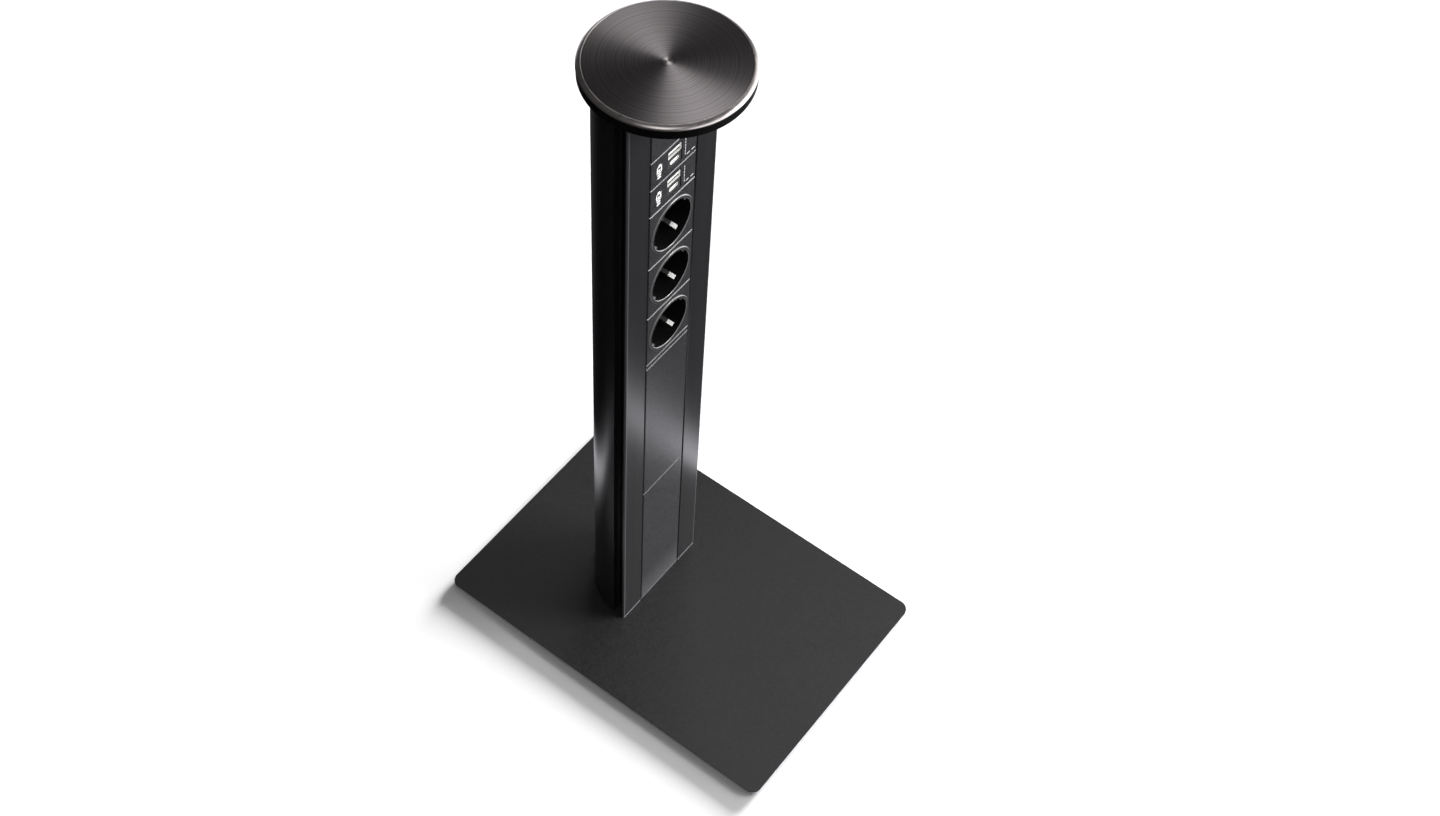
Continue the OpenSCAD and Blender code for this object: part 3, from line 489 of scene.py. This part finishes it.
# the outline from the face's middle over the rim to the middle of the underside
level = cap["top"] - cap["rise"]
capOutline = [(0, level)] + [(r, level) for r in cap["faceRings"]]
capOutline += [(cap["face"] - inward, level) for inward in cap["edgeRings"]]
capOutline += [(cap["face"], level - cap["lipDepth"]), (cap["face"] + cap["lip"], level)]
faceSteps = len(capOutline) - 3
crown = cap["radius"] - cap["face"] - cap["lip"]
first = math.radians(cap["rimStart"])
for i in range(cap["rimSteps"] + 1):
    a = first + (math.pi / 2 - first) * i / cap["rimSteps"]
    out = (math.sin(a) - math.sin(first)) / (1 - math.sin(first))
    down = (math.cos(first) - math.cos(a)) / math.cos(first)
    capOutline.append((cap["radius"] - crown * (1 - out), cap["top"] - crown * cap["crownDepth"] * down))
capOutline += [(cap["radius"], cap["under"] + cap["chamfer"]),
               (cap["radius"] - cap["chamfer"], cap["under"]), (0, cap["under"])]

turnedCap = lathed("turnedCap", capOutline, cap["segments"], [finishes["lathe_steel"], capRimFinish()],
                   lambda step: 0 if step < faceSteps else 1)
turnedCap.location.y = cap["axisY"] * mm
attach(turnedCap, "tower")
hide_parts("cap_disc")
print("cap turned")

# printed signs on the two charger fronts: a battery and a few dashes

signs = {
    "front": 21.6, "ink": 0.04,      # mm: the fronts' plane along Y, and how thick the print is
    "heights": (510.7, 485.7),       # middle of each charger front
    "corner": 0.3,                   # share of a bar's thickness that its corners lose
    # each bar's left, bottom, width and height
    "battery": [(-17.6, -2.2, 5.2, 1.0), (-17.6, 3.2, 5.2, 1.0), (-17.6, -1.9, 1.0, 5.8),
                (-13.4, -1.9, 1.0, 5.8), (-16.3, 4.4, 2.6, 1.2)],
    "cells": [(-16.1, -0.6, 2.2, 1.9), (-16.9, -4.4, 3.8, 1.4), (-16.9, -6.8, 3.8, 1.4)],
    "dashes": [(11.4, -7.4 + 2.6 * i, 0.6, 1.9) for i in range(6)] + [
        (13.2, -8.4, 3.4, 0.8), (18.2, -8.4, 3.4, 0.8)],
    "white": (0.92, 0.92, 0.92, 1), "greyInk": (0.62, 0.63, 0.64, 1),
}


def printedSign(name, bars, finish):
    mesh = bmesh.new()
    front, back = (signs["front"] - signs["ink"]) * mm, signs["front"] * mm
    for left, bottom, width, height in bars:
        cut = min(width, height) * signs["corner"]
        corners = [(left + cut, bottom), (left + width - cut, bottom), (left + width, bottom + cut),
                   (left + width, bottom + height - cut), (left + width - cut, bottom + height),
                   (left + cut, bottom + height), (left, bottom + height - cut), (left, bottom + cut)]
        near = [mesh.verts.new((x * mm, front, z * mm)) for x, z in corners]
        far = [mesh.verts.new((x * mm, back, z * mm)) for x, z in corners]
        mesh.faces.new(near)
        mesh.faces.new(far[::-1])
        for i in range(8):
            j = (i + 1) % 8
            mesh.faces.new((near[j], near[i], far[i], far[j]))
    data = bpy.data.meshes.new(name)
    mesh.to_mesh(data)
    mesh.free()
    data.materials.append(finish)
    piece = bpy.data.objects.new(name, data)
    scene.collection.objects.link(piece)
    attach(piece, "tower")
    return piece


whiteInk = plainFinish("whiteInk", signs["white"], 0.45, 0.0, 1500, 0.0, 0.03)
greyInk = plainFinish("greyInk", signs["greyInk"], 0.5, 0.0, 2600, 0.0, 0.25)
prints = []
for k, height in enumerate(signs["heights"], 1):
    for name, bars, ink in (("batterySign", signs["battery"] + signs["cells"], whiteInk),
                            ("dashes", signs["dashes"], greyInk)):
        prints.append(printedSign("%s_%d" % (name, k), bars, ink))
        prints[-1].location.z = height * mm
print("signs printed")

# studio: a pale floor and world for the camera, a dark room in the gloss

studio = {      # metres
    "floorHalf": 6, "floorDrop": 0.0003,
    "floorColor": 0.46,
    "floorBounce": 0.12,              # the floor's colour for light that it throws back on the piece
    "floorGlow": 0.06,                # what the camera adds to the floor's own light
    "farGlow": 0.5,                   # and what it adds where the lamps don't reach
    "farGlowReach": (0.45, 1.30),     # from and to this distance from the middle
    "plateHalf": (0.107, 0.1545),     # half the plate's width and depth
    "nearGloss": 2.85,                # the floor in gloss, beside the plate
    "nearTint": (0.97, 0.97, 1.03, 1),
    "nearReach": (0.000, 0.046),      # from and to this distance from the plate that light falls off
    "frontStretch": 0.45,             # distances in front of the plate count this much
    "backShift": 0.012,               # behind it the light starts this much later
    "backStretch": 1.25,              # and distances count this much
    "contact": (0.002, 0.009),        # right beside the plate the floor is in its shade
    "contactShade": 0.05,
    "shadeReach": (-0.125, -0.098),   # and so it is on the left, up to where that lifts along X
    "leftShade": 0.06,
    "farGloss": (0.004, 0.075),       # further off, from behind the column to its right
    "farGlossReach": (0.0, 0.15),     # from and to there along X
    "sideGloss": 1.0,                 # far out on the right it is pale again
    "sideReach": (0.64, 0.80),
    "rimGloss": 2.0,                  # further still it is brighter; only the cap's rim mirrors that
    "rimReach": (0.70, 1.15),
    "frontGloss": 2.0,                # and so it is far out in front, from and to there along Y
    "frontReach": (-1.15, -0.85),
    "worldLight": 0.08, "worldSeen": 1.0,
}

half = studio["floorHalf"]
floorMesh = bpy.data.meshes.new("studioFloor")
corners = [(-half, -half, 0), (half, -half, 0), (half, half, 0), (-half, half, 0)]
floorMesh.from_pydata(corners, [], [(0, 1, 2, 3)])
floor = bpy.data.objects.new("studioFloor", floorMesh)
floor.location.z = -studio["floorDrop"]
scene.collection.objects.link(floor)

material, tree, bsdf = newFinish("paleFloor")
tree.nodes.remove(bsdf)
rays = put(tree, "ShaderNodeLightPath").outputs
onFloor = objectPoint(tree)

# what the camera and the light see
floorShade = blendValues(tree, rays["Is Diffuse Ray"], studio["floorColor"], studio["floorBounce"])
diffuse = put(tree, "ShaderNodeBsdfDiffuse", {"Color": floorShade})
fromMiddle = vectorCalc(tree, "LENGTH", onFloor)["Value"]
glowing = spread(tree, fromMiddle, studio["floorGlow"], studio["farGlow"], *studio["farGlowReach"])
glow = put(tree, "ShaderNodeEmission", {
    "Color": (1, 1, 1, 1), "Strength": times(tree, rays["Is Camera Ray"], glowing)})
seen = put(tree, "ShaderNodeAddShader", {0: diffuse.outputs[0], 1: glow.outputs[0]})

# what gloss sees: the floor glows for reflections alone, a painted reflection of light round the plate
# with painted shade right beside it and on its left
halfWide, halfDeep = studio["plateHalf"]
spot = axes(tree, onFloor)
beside = calc(tree, "SUBTRACT", calc(tree, "ABSOLUTE", spot["X"]), halfWide)
behind = calc(tree, "SUBTRACT", spot["Y"], halfDeep + studio["backShift"])
before = calc(tree, "SUBTRACT", -halfDeep, spot["Y"])
endways = calc(tree, "MAXIMUM", times(tree, behind, studio["backStretch"]),
                times(tree, before, studio["frontStretch"]))
beyond = put(tree, "ShaderNodeCombineXYZ", {"X": beside, "Y": endways}).outputs[0]
fromPlate = vectorCalc(tree, "LENGTH", vectorCalc(tree, "MAXIMUM", beyond)[0])["Value"]
farGloss = spread(tree, spot["X"], *studio["farGloss"], *studio["farGlossReach"])
for more in (spread(tree, spot["X"], 0, studio["sideGloss"], *studio["sideReach"]),
             spread(tree, spot["X"], 0, studio["rimGloss"], *studio["rimReach"]),
             spread(tree, spot["Y"], studio["frontGloss"], 0, *studio["frontReach"])):
    farGloss = calc(tree, "ADD", farGloss, more)
nearFrom, nearTo = studio["nearReach"]
fall = put(tree, "ShaderNodeMapRange", {
    "Value": fromPlate, "From Min": nearFrom, "From Max": nearTo,
    "To Min": studio["nearGloss"], "To Max": farGloss}, interpolation_type="SMOOTHSTEP").outputs["Result"]
shade = times(tree, spread(tree, spot["X"], studio["leftShade"], 1, *studio["shadeReach"]),
              spread(tree, fromPlate, studio["contactShade"], 1, *studio["contact"]))
mirrored = put(tree, "ShaderNodeEmission", {
    "Color": studio["nearTint"], "Strength": times(tree, fall, shade)})

choice = put(tree, "ShaderNodeMixShader", {
    0: rays["Is Glossy Ray"], 1: seen.outputs[0], 2: mirrored.outputs[0]})
join(tree, choice.outputs[0], tree.nodes["Material Output"].inputs["Surface"])
floorMesh.materials.append(material)

world = bpy.data.worlds.new("studioWorld")
world.use_nodes = True
scene.world = world
tree = world.node_tree
back = tree.nodes["Background"]
rays = put(tree, "ShaderNodeLightPath").outputs
join(tree, (1, 1, 1, 1), back.inputs["Color"])
strength = blendValues(tree, rays["Is Camera Ray"], studio["worldLight"], studio["worldSeen"])
join(tree, strength, back.inputs["Strength"])

lamps = {      # place, aim, width, height, watts
    "softRight": ((1.45, -0.95, 0.74), (0, 0, 0.40), 2.2, 1.45, 32),
    "softFront": ((1.12, -1.36, 1.29), (0, 0, 0.30), 0.8, 0.6, 32),
    "softLow": ((0.45, -1.05, 0.13), (0, 0, 0.0), 0.5, 0.16, 0.45),
    "softTop": ((0.665, 0.245, 1.86), (0, 0, 0.30), 0.50, 0.50, 4.4),
    "softCamera": ((-1.10, -0.66, 2.21), (0, 0, 0.40), 0.8, 0.8, 8),
    "softAhead": ((-0.10, -1.70, 0.89), (0, 0, 0.589), 1.6, 1.5, 19),
}

spreadAngle = {"softLow": 32}      # degrees; this one is hooded, so that it reaches the foot alone
openAngle = 180

for name, (place, aim, width, height, watts) in lamps.items():
    lamp = bpy.data.objects.new(name, bpy.data.lights.new(name, "AREA"))
    lamp.data.shape = "RECTANGLE"
    lamp.data.size, lamp.data.size_y, lamp.data.energy = width, height, watts
    lamp.data.spread = math.radians(spreadAngle.get(name, openAngle))
    lamp.location = place
    lamp.visible_camera = False
    lamp.rotation_euler = (Vector(aim) - Vector(place)).to_track_quat("-Z", "Y").to_euler()
    scene.collection.objects.link(lamp)

# the panel ahead is flagged off from everything but the bright pieces: cap, clips, ports and print
brightNodes = ("earth_clip_1", "earth_clip_2", "earth_clip_3", "usb_shells_1", "usb_shells_2",
               "usb_tongues_1", "usb_tongues_2")
bright = bpy.data.collections.new("brightPieces")
for piece in [turnedCap] + prints + [nodes[name] for name in brightNodes]:
    bright.objects.link(piece)
bpy.data.objects["softAhead"].light_linking.receiver_collection = bright

# a low wide light for the floor alone, which draws the plate's soft shadow along its left side
floorLight = {"toward": (-1.0, 0.02, -0.162), "angle": 23, "power": 32}

sun = bpy.data.objects.new("floorLight", bpy.data.lights.new("floorLight", "SUN"))
sun.data.energy = floorLight["power"]
sun.data.angle = math.radians(floorLight["angle"])
sun.rotation_euler = Vector(floorLight["toward"]).to_track_quat("-Z", "Y").to_euler()
scene.collection.objects.link(sun)
lit = bpy.data.collections.new("floorOnly")
lit.objects.link(floor)
sun.light_linking.receiver_collection = lit
shading = bpy.data.collections.new("plateShade")
for name in ("base_plate", "base_mat"):
    shading.objects.link(nodes[name])
sun.light_linking.blocker_collection = shading
print("studio lit")
